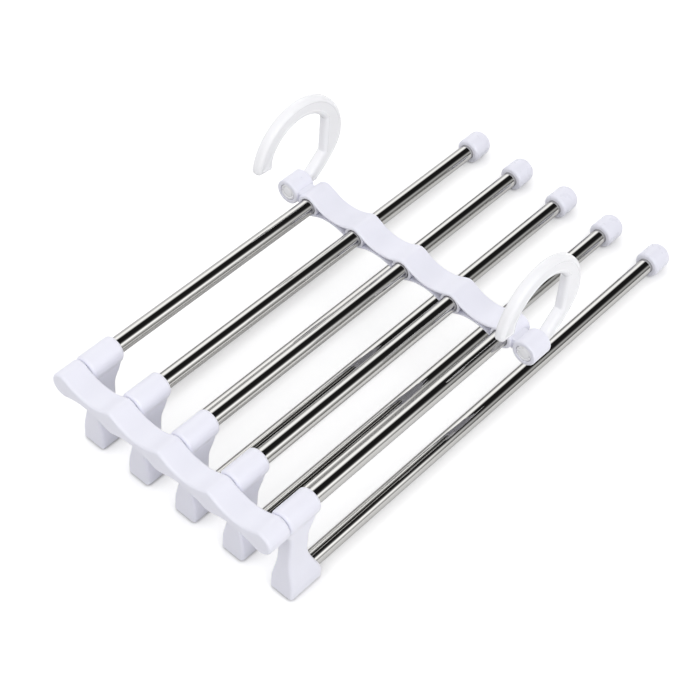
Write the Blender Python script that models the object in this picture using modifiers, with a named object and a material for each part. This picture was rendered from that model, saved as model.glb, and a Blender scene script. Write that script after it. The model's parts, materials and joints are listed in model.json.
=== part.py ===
"""Folding trouser hanger: five hinged arms, two wavy bars and two turning hooks.

Metres, +Z up. Arms lie along +Y, front bar at -Y, and stand on their feet and end caps at Z = 0.
"""
import math

import bmesh
import bpy
from mathutils import Matrix, Vector

# Arms, side by side along X
ARM_COUNT = 5
ARM_PITCH = 0.034
ARM_DROP = 0.0555
TUBE_RADIUS = 0.00475
TUBE_WALL = 0.0006

# Stations along Y, from the front bar's face to the end caps
FRONT_BAR_DEPTH = 0.015
COLLAR_LENGTH = 0.0215
UPPER_SPAN = 0.1451
LOWER_SPAN = 0.1491
CAP_LENGTH = 0.016

# Wavy bars: heights above and below the upper tube axes
FRONT_BAR_CREST = 0.0068
FRONT_BAR_VALLEY = 0.0018
FRONT_BAR_SOLE = 0.0076
FRONT_BAR_ARCH = 0.0042
HOOK_BAR_CREST = 0.0066
HOOK_BAR_VALLEY = 0.0018
BAR_END_REACH = 0.0073
CREST_PULL = 0.0036
VALLEY_PULL = 0.0102

# Hook bar: cored pockets, tube bosses, webs and eyes
HOOK_BAR_DEPTH = 0.017
POCKET_DEPTH = 0.012
POCKET_WALL = 0.0012
BOSS_RADIUS = 0.0064
TUBE_SEAT = 0.012
EYE_OFFSET = 0.01575
EYE_RADIUS = 0.0074
EYE_LENGTH = 0.0143
EYE_RECESS = 0.0022
WEB_HEIGHT = 0.0072
WEB_INSET = 0.0015

# Foot bracket: collar, waisted leg and flared base
COLLAR_RADIUS = 0.0072
COLLAR_BLEND = 0.0065
LEG_WIDTH = 0.0092
LEG_LEVEL = 0.009
LEG_PULL = 0.003
NECK_WIDTH = 0.0087
NECK_LEVEL = 0.030
NECK_FRONT = 0.0033
NECK_FRONT_LEVEL = 0.016
NECK_BACK = 0.0172
NECK_BACK_TOP = 0.021
NECK_BACK_BOTTOM = 0.032
BASE_WIDTH = 0.015
BASE_LEVEL = 0.055
BASE_FRONT = 0.003
BASE_BACK = 0.026
BASE_BACK_LEVEL = 0.0572
BASE_CORNER = 0.0025
FLARE_PULL = 0.012
FLARE_FOOT_PULL = 0.008
HEEL_FLARE_PULL = 0.009
HEEL_FOOT_PULL = 0.0047
FOOT_FRONT_WALL = 0.003
SPIGOT_RADIUS = 0.0042
SPIGOT_LENGTH = 0.0095

# End caps
CAP_RADIUS = 0.0077
CAP_END_WALL = 0.003
CAP_ROUND = 0.0048
CAP_LIP = 0.0009

# Hooks: a flat-sided C with a straight inner flank, on a staked pin
HOOK_RADIUS = 0.0287
HOOK_RISE = 0.0246
HOOK_SETBACK = 0.0083
HOOK_WIDTH = 0.0106
HOOK_THICKNESS = 0.0062
HOOK_TIP_ANGLE = math.radians(173.5)
HOOK_BACK_ANGLE = math.radians(-3)
HOOK_LEAN = math.radians(-3.5)
TIP_OUTER_ROUND = 0.0024
TIP_INNER_ROUND = 0.0015
FLANK_TOP = 0.0354
FLANK_BOTTOM = 0.0116
FLANK_INSET = 0.0019
STEM_RISE = 0.0034
STEM_DROP = 0.0031
STEM_DEPTH = 0.0068
STEM_PULL = 0.009
HEEL_PULL = 0.002
PIN_RADIUS = 0.0028
PIN_HEAD_RADIUS = 0.0051
PIN_HEAD_THICKNESS = 0.0013

# Fits
RUN_GAP = 0.00025
PRESS_GAP = 0.00025
FACE_GAP = 0.0004
BEAD_HEIGHT = 0.0005
BEAD_WIDTH = 0.0016
BEAD_INSET = 0.0015

# Facets and working margins
ROUND_STEPS = 24
OUTLINE_STEPS = 4
HOOK_ARC_STEPS = 5
CAP_ROUND_STEPS = 4
SHARP_ANGLE = math.radians(30)
OVERRUN = 0.004
WELD = 0.000001
CIRCLE_PULL = 4 / 3 * math.tan(math.pi / 8)

# Places worked out from the sizes above
OVERALL_LENGTH = FRONT_BAR_DEPTH + FACE_GAP + COLLAR_LENGTH + UPPER_SPAN + LOWER_SPAN + CAP_LENGTH
FRONT_Y = -OVERALL_LENGTH / 2
FOOT_Y = FRONT_Y + FRONT_BAR_DEPTH + FACE_GAP
HOOK_BAR_Y = FOOT_Y + COLLAR_LENGTH + UPPER_SPAN
CAP_Y = HOOK_BAR_Y + LOWER_SPAN
AXIS_Z = CAP_RADIUS + ARM_DROP
OUTER_ARM_X = (ARM_COUNT - 1) / 2 * ARM_PITCH
EYE_X = OUTER_ARM_X + EYE_OFFSET
TUBE_BORE_RADIUS = TUBE_RADIUS + PRESS_GAP
UPPER_SOCKET_FLOOR = FOOT_FRONT_WALL
LOWER_SOCKET_FLOOR = BASE_FRONT + FOOT_FRONT_WALL
ARM_XS = [(index - (ARM_COUNT - 1) / 2) * ARM_PITCH for index in range(ARM_COUNT)]

# Directions for outlines and turned pieces
ACROSS_ARMS = Matrix(((1, 0, 0), (0, 0, -1), (0, 1, 0))).to_4x4()
ALONG_ARMS = Matrix(((0, 0, 1), (1, 0, 0), (0, 1, 0))).to_4x4()
TURNED_ABOUT_Y = Matrix(((1, 0, 0), (0, 0, 1), (0, -1, 0))).to_4x4()


def clear_scene():
    for old in list(bpy.data.objects):
        bpy.data.objects.remove(old)


def new_collection(name):
    collection = bpy.data.collections.new(name)
    bpy.context.scene.collection.children.link(collection)
    return collection


def plain_material(name, colour, roughness, metallic=0.0):
    material = bpy.data.materials.new(name)
    material.use_nodes = True
    shader = material.node_tree.nodes["Principled BSDF"]
    shader.inputs["Base Color"].default_value = (*colour, 1.0)
    shader.inputs["Roughness"].default_value = roughness
    shader.inputs["Metallic"].default_value = metallic
    return material


def add_object(name, data, collection, matrix=None):
    item = bpy.data.objects.new(name, data)
    collection.objects.link(item)
    if matrix is not None:
        item.matrix_world = matrix
    return item


def as_tool(item):
    """Mark a working solid so that it is drawn as wire and left out of the model."""
    item.hide_render = True
    item.display_type = "WIRE"
    return item


def tidy_mesh(mesh):
    """Weld loose caps, point the faces out and shade round faces smooth."""
    work = bmesh.new()
    work.from_mesh(mesh)
    bmesh.ops.remove_doubles(work, verts=work.verts, dist=WELD)
    bmesh.ops.recalc_face_normals(work, faces=work.faces)
    work.to_mesh(mesh)
    work.free()
    mesh.shade_smooth()
    mesh.set_sharp_from_angle(angle=SHARP_ANGLE)


def meshed(item, collection):
    """Swap an object for a plain mesh object of its evaluated shape, with its place baked in."""
    bpy.context.view_layer.update()
    graph = bpy.context.evaluated_depsgraph_get()
    mesh = bpy.data.meshes.new_from_object(item.evaluated_get(graph))
    mesh.transform(item.matrix_world)
    tidy_mesh(mesh)
    name = item.name
    bpy.data.objects.remove(item)
    mesh.name = name
    return as_tool(add_object(name, mesh, collection))


def boolean(item, tool, operation):
    modifier = item.modifiers.new(operation.lower() + "_" + tool.name, "BOOLEAN")
    modifier.operation = operation
    modifier.object = tool
    modifier.solver = "EXACT"


def knot(u, v, before=(0, 0), after=(0, 0)):
    """A point of an outline with the pulls of its two handles, none where it starts a straight run."""
    place = Vector((u, v, 0))
    return place, place + Vector((*before, 0)), place + Vector((*after, 0))


def mirrored(half):
    """Close an outline whose first point lies on the mirror line and whose last one doesn't."""
    flip = Vector((-1, 1, 1))
    other = [(place * flip, after * flip, before * flip) for place, before, after in half[:0:-1]]
    return half + other


def arc_knots(centre, radius, start, stop, count, lead_in=(0, 0), lead_out=(0, 0)):
    """Knots along a circular arc, with pulls that keep it round and others for what meets its ends."""
    step = (stop - start) / count
    pull = 4 / 3 * math.tan(step / 4) * radius
    knots = []
    for index in range(count + 1):
        angle = start + index * step
        out = Vector((math.cos(angle), math.sin(angle)))
        along = Vector((-out.y, out.x)) * pull
        place = Vector(centre) + out * radius
        before = lead_in if index == 0 else -along
        after = lead_out if index == count else along
        knots.append(knot(*place, before, after))
    return knots


def plate(name, knots, thickness, direction, centre, collection):
    """A solid of even thickness from a closed outline."""
    curve = bpy.data.curves.new(name, "CURVE")
    curve.dimensions = "2D"
    curve.fill_mode = "BOTH"
    curve.extrude = thickness / 2
    curve.resolution_u = OUTLINE_STEPS
    spline = curve.splines.new("BEZIER")
    spline.bezier_points.add(len(knots) - 1)
    spline.use_cyclic_u = True
    for point, (place, before, after) in zip(spline.bezier_points, knots):
        point.handle_left_type = "VECTOR" if before == place else "FREE"
        point.handle_right_type = "VECTOR" if after == place else "FREE"
        point.co = place
        point.handle_left = before
        point.handle_right = after
    item = add_object(name, curve, collection, Matrix.Translation(centre) @ direction)
    return meshed(item, collection)


def turned(name, profile, closed, centre, collection):
    """A solid turned about a line along Y, from (radius, place) pairs that run down the outer side."""
    mesh = bpy.data.meshes.new(name)
    count = len(profile)
    edges = [(index, index + 1) for index in range(count - 1)]
    if closed:
        edges.append((count - 1, 0))
    mesh.from_pydata([(radius, 0, place) for radius, place in profile], edges, [])
    item = add_object(name, mesh, collection, Matrix.Translation(centre) @ TURNED_ABOUT_Y)
    screw = item.modifiers.new("turn", "SCREW")
    screw.steps = ROUND_STEPS
    screw.render_steps = ROUND_STEPS
    screw.use_merge_vertices = True
    screw.merge_threshold = WELD
    return meshed(item, collection)


def box(name, low, high, collection):
    mesh = bpy.data.meshes.new(name)
    work = bmesh.new()
    bmesh.ops.create_cube(work, size=1)
    size = Vector(high) - Vector(low)
    middle = (Vector(high) + Vector(low)) / 2
    matrix = Matrix.Translation(middle) @ Matrix.Diagonal((*size, 1))
    bmesh.ops.transform(work, matrix=matrix, verts=work.verts)
    work.to_mesh(mesh)
    work.free()
    return as_tool(add_object(name, mesh, collection))


def gathered(name, items, collection):
    """Several working solids that stand apart, as one object."""
    work = bmesh.new()
    for item in items:
        work.from_mesh(item.data)
        bpy.data.objects.remove(item)
    mesh = bpy.data.meshes.new(name)
    work.to_mesh(mesh)
    work.free()
    return as_tool(add_object(name, mesh, collection))


def beaded_side(radius, top, bottom, bead_at, grow):
    """Outer side of a journal with a snap bead; grow widens it into the bore that takes it."""
    side = radius + grow
    ridge = radius + BEAD_HEIGHT + grow
    half = BEAD_WIDTH / 2 + grow
    return [(side, top), (side, bead_at + half), (ridge, bead_at), (side, bead_at - half), (side, bottom)]


def spigot_profile(grow, overlap, end_gap):
    """The bracket's spigot, or its bore in the front bar, from the foot's front face forward."""
    end = -SPIGOT_LENGTH - end_gap
    bead_at = -SPIGOT_LENGTH + BEAD_INSET
    return [(0, overlap), *beaded_side(SPIGOT_RADIUS, overlap, end, bead_at, grow), (0, end)]


def tube_end_bead(length):
    return length - BEAD_INSET


def wave_knots(crest, valley, sole, arch, reach):
    """Outline of a wavy bar: a crest over each arm, a dip between arms and round ends."""
    knots = []
    end_pull = CIRCLE_PULL * (crest + sole) / 2
    last = 2 * ARM_COUNT - 2
    for side, peak, dip in ((1, crest, valley), (-1, -sole, -arch)):
        for index in range(last + 1):
            at_arm = index % 2 == 0
            pull = CREST_PULL if at_arm else VALLEY_PULL
            before = CIRCLE_PULL * reach if index == 0 else pull
            after = CIRCLE_PULL * reach if index == last else pull
            x = side * (index / 2 * ARM_PITCH - OUTER_ARM_X)
            knots.append(knot(x, peak if at_arm else dip, (-side * before, 0), (side * after, 0)))
        end_x = side * (OUTER_ARM_X + reach)
        knots.append(knot(end_x, (crest - sole) / 2, (0, side * end_pull), (0, -side * end_pull)))
    return knots


def build_front_bar(parts, tools):
    depth_centre = (0, FRONT_Y + FRONT_BAR_DEPTH / 2, AXIS_Z)
    outline = wave_knots(FRONT_BAR_CREST, FRONT_BAR_VALLEY, FRONT_BAR_SOLE, FRONT_BAR_ARCH, BAR_END_REACH)
    bar = plate("front_wave_bar", outline, FRONT_BAR_DEPTH, ACROSS_ARMS, depth_centre, tools)
    profile = spigot_profile(RUN_GAP, OVERRUN, FACE_GAP)
    bores = [turned("spigot_bore", profile, False, (x, FOOT_Y, AXIS_Z), tools) for x in ARM_XS]
    boolean(bar, gathered("spigot_bores", bores, tools), "DIFFERENCE")
    return finish(bar, parts, tools)


def build_hook_bar(parts, tools):
    depth_centre = (0, HOOK_BAR_Y + HOOK_BAR_DEPTH / 2, AXIS_Z)
    outline = wave_knots(HOOK_BAR_CREST, HOOK_BAR_VALLEY, HOOK_BAR_CREST, HOOK_BAR_VALLEY, BAR_END_REACH)
    bar = plate("hook_bar", outline, HOOK_BAR_DEPTH, ACROSS_ARMS, depth_centre, tools)

    barrel = [(0, EYE_LENGTH), (EYE_RADIUS, EYE_LENGTH), (EYE_RADIUS, 0), (0, 0)]
    for side in (-1, 1):
        low_x, high_x = sorted((side * OUTER_ARM_X, side * EYE_X))
        low = (low_x, HOOK_BAR_Y + WEB_INSET, AXIS_Z - WEB_HEIGHT / 2)
        high = (high_x, HOOK_BAR_Y + EYE_LENGTH - WEB_INSET, AXIS_Z + WEB_HEIGHT / 2)
        boolean(bar, box("web", low, high, tools), "UNION")
        boolean(bar, turned("eye", barrel, False, (side * EYE_X, HOOK_BAR_Y, AXIS_Z), tools), "UNION")

    boolean(bar, build_pockets(tools), "DIFFERENCE")

    seat = [(0, TUBE_SEAT + FACE_GAP)]
    seat += beaded_side(TUBE_RADIUS, TUBE_SEAT + FACE_GAP, -OVERRUN, tube_end_bead(TUBE_SEAT), RUN_GAP)
    seat += [(0, -OVERRUN)]
    bores = [turned("tube_seat", seat, False, (x, HOOK_BAR_Y, AXIS_Z), tools) for x in ARM_XS]
    pin_bore = PIN_RADIUS + RUN_GAP
    recess = PIN_HEAD_RADIUS + RUN_GAP
    hole = [(0, EYE_LENGTH + OVERRUN), (pin_bore, EYE_LENGTH + OVERRUN), (pin_bore, EYE_RECESS)]
    hole += [(recess, EYE_RECESS), (recess, -OVERRUN), (0, -OVERRUN)]
    bores += [turned("pin_bore", hole, False, (x, HOOK_BAR_Y, AXIS_Z), tools) for x in (-EYE_X, EYE_X)]
    boolean(bar, gathered("tube_seats_and_pin_bores", bores, tools), "DIFFERENCE")
    return finish(bar, parts, tools)


def build_pockets(tools):
    """The cored spaces between the tube bosses, open to the front."""
    level = HOOK_BAR_CREST - POCKET_WALL
    dip = HOOK_BAR_VALLEY - POCKET_WALL
    core_centre = (0, HOOK_BAR_Y + (POCKET_DEPTH - OVERRUN) / 2, AXIS_Z)
    outline = wave_knots(level, dip, level, dip, BAR_END_REACH - POCKET_WALL)
    core = plate("pockets", outline, POCKET_DEPTH + OVERRUN, ACROSS_ARMS, core_centre, tools)
    far = POCKET_DEPTH + OVERRUN
    boss = [(0, far), (BOSS_RADIUS, far), (BOSS_RADIUS, -2 * OVERRUN), (0, -2 * OVERRUN)]
    bosses = [turned("boss", boss, False, (x, HOOK_BAR_Y, AXIS_Z), tools) for x in ARM_XS]
    ends = []
    for side in (-1, 1):
        low_x, high_x = sorted((side * OUTER_ARM_X, side * (OUTER_ARM_X + 2 * BAR_END_REACH)))
        low = (low_x, HOOK_BAR_Y - 2 * OVERRUN, AXIS_Z - 2 * HOOK_BAR_CREST)
        high = (high_x, HOOK_BAR_Y + far, AXIS_Z + 2 * HOOK_BAR_CREST)
        ends.append(box("end_block", low, high, tools))
    boolean(core, gathered("bosses", bosses, tools), "DIFFERENCE")
    boolean(core, gathered("end_blocks", ends, tools), "DIFFERENCE")
    return core


def foot_front_knots():
    """Front outline of the bracket: round collar, narrow leg, flared base with a flat sole."""
    collar_pull = CIRCLE_PULL * COLLAR_RADIUS
    corner_pull = CIRCLE_PULL * BASE_CORNER
    half_base = BASE_WIDTH / 2
    half = [
        knot(0, COLLAR_RADIUS, (-collar_pull, 0), (collar_pull, 0)),
        knot(COLLAR_RADIUS, 0, (0, collar_pull), (0, -collar_pull)),
        knot(LEG_WIDTH / 2, -LEG_LEVEL, (0, LEG_PULL)),
        knot(NECK_WIDTH / 2, -NECK_LEVEL, (0, 0), (0, -FLARE_PULL)),
        knot(half_base, -BASE_LEVEL, (0, FLARE_FOOT_PULL)),
        knot(half_base, BASE_CORNER - AXIS_Z, (0, 0), (0, -corner_pull)),
        knot(half_base - BASE_CORNER, -AXIS_Z, (corner_pull, 0)),
    ]
    return mirrored(half)


def foot_side_knots():
    """Side outline of the bracket: collar, leg set back behind the bar, base under the lower tube."""
    above = COLLAR_RADIUS + OVERRUN
    below = -AXIS_Z - OVERRUN
    front_pull = (NECK_FRONT_LEVEL - COLLAR_BLEND) / 2
    back_pull = (NECK_BACK_TOP - COLLAR_BLEND) / 2
    return [
        knot(0, above),
        knot(0, -COLLAR_BLEND, (0, 0), (0, -front_pull)),
        knot(NECK_FRONT, -NECK_FRONT_LEVEL, (0, front_pull)),
        knot(BASE_FRONT, -BASE_LEVEL),
        knot(BASE_FRONT, below),
        knot(BASE_BACK, below),
        knot(BASE_BACK, -BASE_BACK_LEVEL, (0, 0), (0, HEEL_FOOT_PULL)),
        knot(NECK_BACK, -NECK_BACK_BOTTOM, (0, -HEEL_FLARE_PULL)),
        knot(NECK_BACK, -NECK_BACK_TOP, (0, 0), (0, back_pull)),
        knot(COLLAR_LENGTH, -COLLAR_BLEND, (0, -back_pull)),
        knot(COLLAR_LENGTH, above),
    ]


def foot_mesh(tools):
    """Bracket in its arm's frame: the upper axis at Z = 0 and the collar's front face at Y = 0."""
    front_centre = (0, BASE_BACK / 2, 0)
    foot = plate("foot_bracket", foot_front_knots(), BASE_BACK + OVERRUN, ACROSS_ARMS, front_centre, tools)
    side_width = 2 * (COLLAR_RADIUS + OVERRUN)
    side = plate("foot_side", foot_side_knots(), side_width, ALONG_ARMS, (0, 0, 0), tools)
    boolean(foot, side, "INTERSECT")
    spigot = turned("spigot", spigot_profile(0, FOOT_FRONT_WALL / 2, 0), False, (0, 0, 0), tools)
    boolean(foot, spigot, "UNION")
    upper_socket = (0, UPPER_SOCKET_FLOOR, COLLAR_LENGTH + OVERRUN)
    lower_socket = (-ARM_DROP, LOWER_SOCKET_FLOOR, BASE_BACK + OVERRUN)
    sockets = []
    for level, floor, mouth in (upper_socket, lower_socket):
        socket = [(0, mouth), (TUBE_BORE_RADIUS, mouth), (TUBE_BORE_RADIUS, floor), (0, floor)]
        sockets.append(turned("socket", socket, False, (0, 0, level), tools))
    boolean(foot, gathered("tube_sockets", sockets, tools), "DIFFERENCE")
    return meshed(foot, tools)


def tube_mesh(name, length, bead_at, tools):
    """A stainless tube from its front end, with a rolled bead where it turns in a bar."""
    bore = TUBE_RADIUS - TUBE_WALL
    outer = [(TUBE_RADIUS, length), (TUBE_RADIUS, 0)]
    if bead_at is not None:
        outer = beaded_side(TUBE_RADIUS, length, 0, bead_at, 0)
    return turned(name, [*outer, (bore, 0), (bore, length)], True, (0, 0, 0), tools)


def cap_mesh(tools):
    """Push-on cap from its rim: a cup with a well rounded end and an eased lip."""
    profile = [(0, CAP_LENGTH)]
    for index in range(CAP_ROUND_STEPS + 1):
        angle = math.pi / 2 * (1 - index / CAP_ROUND_STEPS)
        radius = CAP_RADIUS - CAP_ROUND + CAP_ROUND * math.cos(angle)
        profile.append((radius, CAP_LENGTH - CAP_ROUND + CAP_ROUND * math.sin(angle)))
    profile += [(CAP_RADIUS, CAP_LIP), (CAP_RADIUS - CAP_LIP, 0), (TUBE_BORE_RADIUS, 0)]
    inner_end = CAP_LENGTH - CAP_END_WALL
    profile += [(TUBE_BORE_RADIUS, inner_end), (0, inner_end)]
    return turned("end_cap", profile, False, (0, 0, 0), tools)


def hook_knots(stem_front):
    """Side outline of a hook: outer arc, square tip, inner arc, straight flank and slanting stem."""
    centre = Vector((HOOK_SETBACK, HOOK_RISE))
    outer_radius = HOOK_RADIUS + HOOK_WIDTH / 2
    inner_radius = HOOK_RADIUS - HOOK_WIDTH / 2
    flank_angle = math.asin((FLANK_TOP - HOOK_RISE) / inner_radius)
    flank_y = HOOK_SETBACK + inner_radius * math.cos(flank_angle) - FLANK_INSET

    out = Vector((math.cos(HOOK_TIP_ANGLE), math.sin(HOOK_TIP_ANGLE)))
    onward = Vector((-out.y, out.x))
    outer_pull = CIRCLE_PULL * TIP_OUTER_ROUND
    inner_pull = CIRCLE_PULL * TIP_INNER_ROUND
    outer_stop = HOOK_TIP_ANGLE - TIP_OUTER_ROUND / outer_radius
    inner_start = HOOK_TIP_ANGLE - TIP_INNER_ROUND / inner_radius
    heel = Vector((math.sin(HOOK_BACK_ANGLE), -math.cos(HOOK_BACK_ANGLE))) * STEM_PULL

    outer = arc_knots(
        centre, outer_radius, HOOK_BACK_ANGLE, outer_stop, HOOK_ARC_STEPS, heel, onward * outer_pull
    )
    tip = [
        knot(*(centre + out * (outer_radius - TIP_OUTER_ROUND)), out * outer_pull),
        knot(*(centre + out * (inner_radius + TIP_INNER_ROUND)), (0, 0), -out * inner_pull),
    ]
    inner = arc_knots(centre, inner_radius, inner_start, flank_angle, HOOK_ARC_STEPS, onward * inner_pull)
    stem = [
        knot(flank_y, FLANK_BOTTOM),
        knot(stem_front, STEM_RISE),
        knot(stem_front, -STEM_DROP),
        knot(stem_front + STEM_DEPTH, -STEM_DROP, (0, 0), (0, HEEL_PULL)),
    ]
    return [*outer, *tip, *inner, *stem]


def hook_mesh(tools):
    """Hook in its eye's frame: the pin on Z = 0 and the eye's front face at Y = 0."""
    stem_front = EYE_LENGTH + FACE_GAP
    hook = plate("hook", hook_knots(stem_front), HOOK_THICKNESS, ALONG_ARMS, (0, 0, 0), tools)

    pin_root = stem_front + STEM_DEPTH / 2
    head_far = EYE_RECESS - FACE_GAP
    head_near = head_far - PIN_HEAD_THICKNESS
    pin = [
        (0, pin_root),
        (PIN_RADIUS, pin_root),
        (PIN_RADIUS, head_far),
        (PIN_HEAD_RADIUS, head_far),
        (PIN_HEAD_RADIUS, head_near),
        (0, head_near),
    ]
    boolean(hook, turned("hook_pin", pin, False, (0, 0, 0), tools), "UNION")
    return meshed(hook, tools)


def finish(item, parts, tools):
    """Move a finished working solid to the model."""
    tools.objects.unlink(item)
    parts.objects.link(item)
    item.hide_render = False
    item.display_type = "TEXTURED"
    return item


def place_copy(name, master, material, parent, offset, parts):
    """A copy of a finished piece, hung on the empty that marks its joint axis."""
    item = add_object(name, master.data, parts)
    if not item.data.materials:
        item.data.materials.append(material)
    item.parent = parent
    item.location = offset
    return item


def build_arms(parts, tools, bracket_material, steel, cap_material):
    upper_start = UPPER_SOCKET_FLOOR + FACE_GAP
    lower_start = LOWER_SOCKET_FLOOR + FACE_GAP
    upper_length = COLLAR_LENGTH + UPPER_SPAN + TUBE_SEAT - upper_start
    lower_length = CAP_Y - FOOT_Y + CAP_LENGTH - CAP_END_WALL - FACE_GAP - lower_start
    foot = foot_mesh(tools)
    upper = tube_mesh("upper_tube", upper_length, tube_end_bead(upper_length), tools)
    lower = tube_mesh("lower_tube", lower_length, None, tools)
    cap = cap_mesh(tools)
    for number, x in enumerate(ARM_XS, start=1):
        axis = add_object(f"arm_{number}_axis", None, parts)
        axis.location = (x, FOOT_Y, AXIS_Z)
        place_copy(f"foot_bracket_{number}", foot, bracket_material, axis, (0, 0, 0), parts)
        place_copy(f"upper_tube_{number}", upper, steel, axis, (0, upper_start, 0), parts)
        place_copy(f"lower_tube_{number}", lower, steel, axis, (0, lower_start, -ARM_DROP), parts)
        place_copy(f"end_cap_{number}", cap, cap_material, axis, (0, CAP_Y - FOOT_Y, -ARM_DROP), parts)
    for master in (foot, upper, lower, cap):
        bpy.data.objects.remove(master)


def build_hooks(parts, tools, material):
    hook = hook_mesh(tools)
    for name, side in (("left_hook", -1), ("right_hook", 1)):
        axis = add_object(name + "_axis", None, parts)
        axis.location = (side * EYE_X, HOOK_BAR_Y, AXIS_Z)
        axis.rotation_euler = (0, HOOK_LEAN, 0)
        place_copy(name, hook, material, axis, (0, 0, 0), parts)
    bpy.data.objects.remove(hook)


clear_scene()
model = new_collection("folding_trouser_hanger")
working_solids = new_collection("cutters")

bar_plastic = plain_material("bar_plastic", (0.80, 0.80, 0.90), 0.35)
bracket_plastic = plain_material("bracket_plastic", (0.79, 0.79, 0.89), 0.35)
cap_plastic = plain_material("cap_plastic", (0.80, 0.80, 0.90), 0.30)
hook_plastic = plain_material("hook_plastic", (0.90, 0.90, 0.93), 0.25)
polished_steel = plain_material("polished_steel", (0.62, 0.61, 0.60), 0.10, 1.0)

build_front_bar(model, working_solids).data.materials.append(bar_plastic)
build_hook_bar(model, working_solids).data.materials.append(bar_plastic)
build_arms(model, working_solids, bracket_plastic, polished_steel, cap_plastic)
build_hooks(model, working_solids, hook_plastic)
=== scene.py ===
import json
import math

import bmesh
import bpy
from mathutils import Matrix, Vector


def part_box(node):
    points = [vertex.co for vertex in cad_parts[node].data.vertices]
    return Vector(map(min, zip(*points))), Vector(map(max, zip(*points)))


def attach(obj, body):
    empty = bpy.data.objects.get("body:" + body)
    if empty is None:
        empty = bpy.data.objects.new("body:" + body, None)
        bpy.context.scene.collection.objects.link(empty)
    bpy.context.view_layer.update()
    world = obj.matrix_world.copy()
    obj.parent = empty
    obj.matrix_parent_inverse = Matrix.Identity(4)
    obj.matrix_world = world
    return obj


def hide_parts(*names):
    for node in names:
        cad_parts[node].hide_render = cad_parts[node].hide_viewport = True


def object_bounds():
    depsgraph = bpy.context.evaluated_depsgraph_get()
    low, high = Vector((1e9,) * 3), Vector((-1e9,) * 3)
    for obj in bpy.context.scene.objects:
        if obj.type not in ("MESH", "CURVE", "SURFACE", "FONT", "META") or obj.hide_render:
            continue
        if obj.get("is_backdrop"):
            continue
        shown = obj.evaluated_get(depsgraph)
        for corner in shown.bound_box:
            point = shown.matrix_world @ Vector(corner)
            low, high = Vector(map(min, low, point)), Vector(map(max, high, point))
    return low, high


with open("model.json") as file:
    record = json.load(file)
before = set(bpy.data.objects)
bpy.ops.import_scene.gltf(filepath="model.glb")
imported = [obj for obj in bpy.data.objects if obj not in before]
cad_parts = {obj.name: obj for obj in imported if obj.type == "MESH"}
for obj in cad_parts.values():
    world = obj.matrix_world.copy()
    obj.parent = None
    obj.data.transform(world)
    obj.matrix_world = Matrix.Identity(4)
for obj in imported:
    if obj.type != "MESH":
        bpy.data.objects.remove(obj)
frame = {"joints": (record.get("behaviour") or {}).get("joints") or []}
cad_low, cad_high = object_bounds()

# Front wave bar: a solid bar, injection moulded in white polypropylene, that ties the front ends of the
# five arms together. It swells over each arm and dips between arms, with well rounded edges. Five blind
# bores in its back take the spigots of the brackets, which snap in and turn there.
MM = 0.001
ARM_JOINTS = [joint for joint in frame["joints"] if joint["name"].startswith("arm_")]
ARM_AXES = [Vector(joint["pos_m"]) for joint in ARM_JOINTS]
ARM_BODIES = [joint["child"] for joint in ARM_JOINTS]
AXIS_Z = ARM_AXES[0].z
ARM_PITCH = ARM_AXES[1].x - ARM_AXES[0].x
CIRCLE_PULL = 4 / 3 * math.tan(math.pi / 8)
CREST_PULL = 3.6 * MM
VALLEY_PULL = 10.2 * MM
FRONT_BAR_DIP = 1.8 * MM
FRONT_BAR_ARCH = 4.2 * MM
BAR_EDGE = 1.5 * MM
SPIGOT_RADIUS = 4.2 * MM
SPIGOT_LENGTH = 9.5 * MM
BEAD_HEIGHT = 0.5 * MM
BEAD_WIDTH = 1.6 * MM
BEAD_INSET = 1.5 * MM
RUN_GAP = 0.25 * MM
FACE_GAP = 0.4 * MM
CUT_OVERRUN = 4 * MM
WELD_DISTANCE = 0.001 * MM
SHARP_ANGLE = math.radians(32)
MITRE_LIMIT = 0.5
TURNED_SIDES = 64
EDGE_STEPS = 5
OUTLINE_STEPS = 14


def knot(u, v, before=(0, 0), after=(0, 0)):
    """A point of an outline with the pulls of its two handles, none where it starts a straight run."""
    place = Vector((u, v))
    return place, place + Vector(before), place + Vector(after)


def run_points(start, end, count):
    """Points from one knot towards the next, without the last one."""
    points = []
    for index in range(count):
        far = index / count
        near = 1 - far
        pulled = 3 * near * far * (near * start[2] + far * end[1])
        points.append(near ** 3 * start[0] + pulled + far ** 3 * end[0])
    return points


def traced(knots, steps, straight_steps=1):
    """Points clockwise round a closed outline."""
    points = []
    for start, end in zip(knots, knots[1:] + knots[:1]):
        straight = start[2] == start[0] and end[1] == end[0]
        points += run_points(start, end, straight_steps if straight else steps)
    area = sum(here.cross(there) for here, there in zip(points, points[1:] + points[:1]))
    return points if area < 0 else points[::-1]


def drawn_in(outline, distance):
    """A clockwise outline moved inwards by a distance; a round tighter than that closes to a corner."""
    moved = []
    for before, here, after in zip(outline[-1:] + outline[:-1], outline, outline[1:] + outline[:1]):
        arriving = (here - before).normalized()
        leaving = (after - here).normalized()
        along = (arriving + leaving).normalized()
        inward = Vector((along.y, -along.x))
        moved.append(here + inward * distance / max(along.dot(leaving), MITRE_LIMIT))
    count = len(moved)
    runs = [moved[(index + 1) % count] - moved[index] for index in range(count)]
    sides = [outline[(index + 1) % count] - outline[index] for index in range(count)]
    crossed = [run.dot(side) < 0 for run, side in zip(runs, sides)]
    for index in range(count):
        if crossed[index] and not crossed[index - 1]:
            last = index
            while crossed[(last + 1) % count]:
                last += 1
            start, ahead = moved[index], moved[(last + 1) % count]
            into, onward = runs[index - 1], runs[(last + 1) % count]
            corner = start + into * (ahead - start).cross(onward) / into.cross(onward)
            for place in range(index, last + 2):
                moved[place % count] = corner
    return moved


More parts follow.
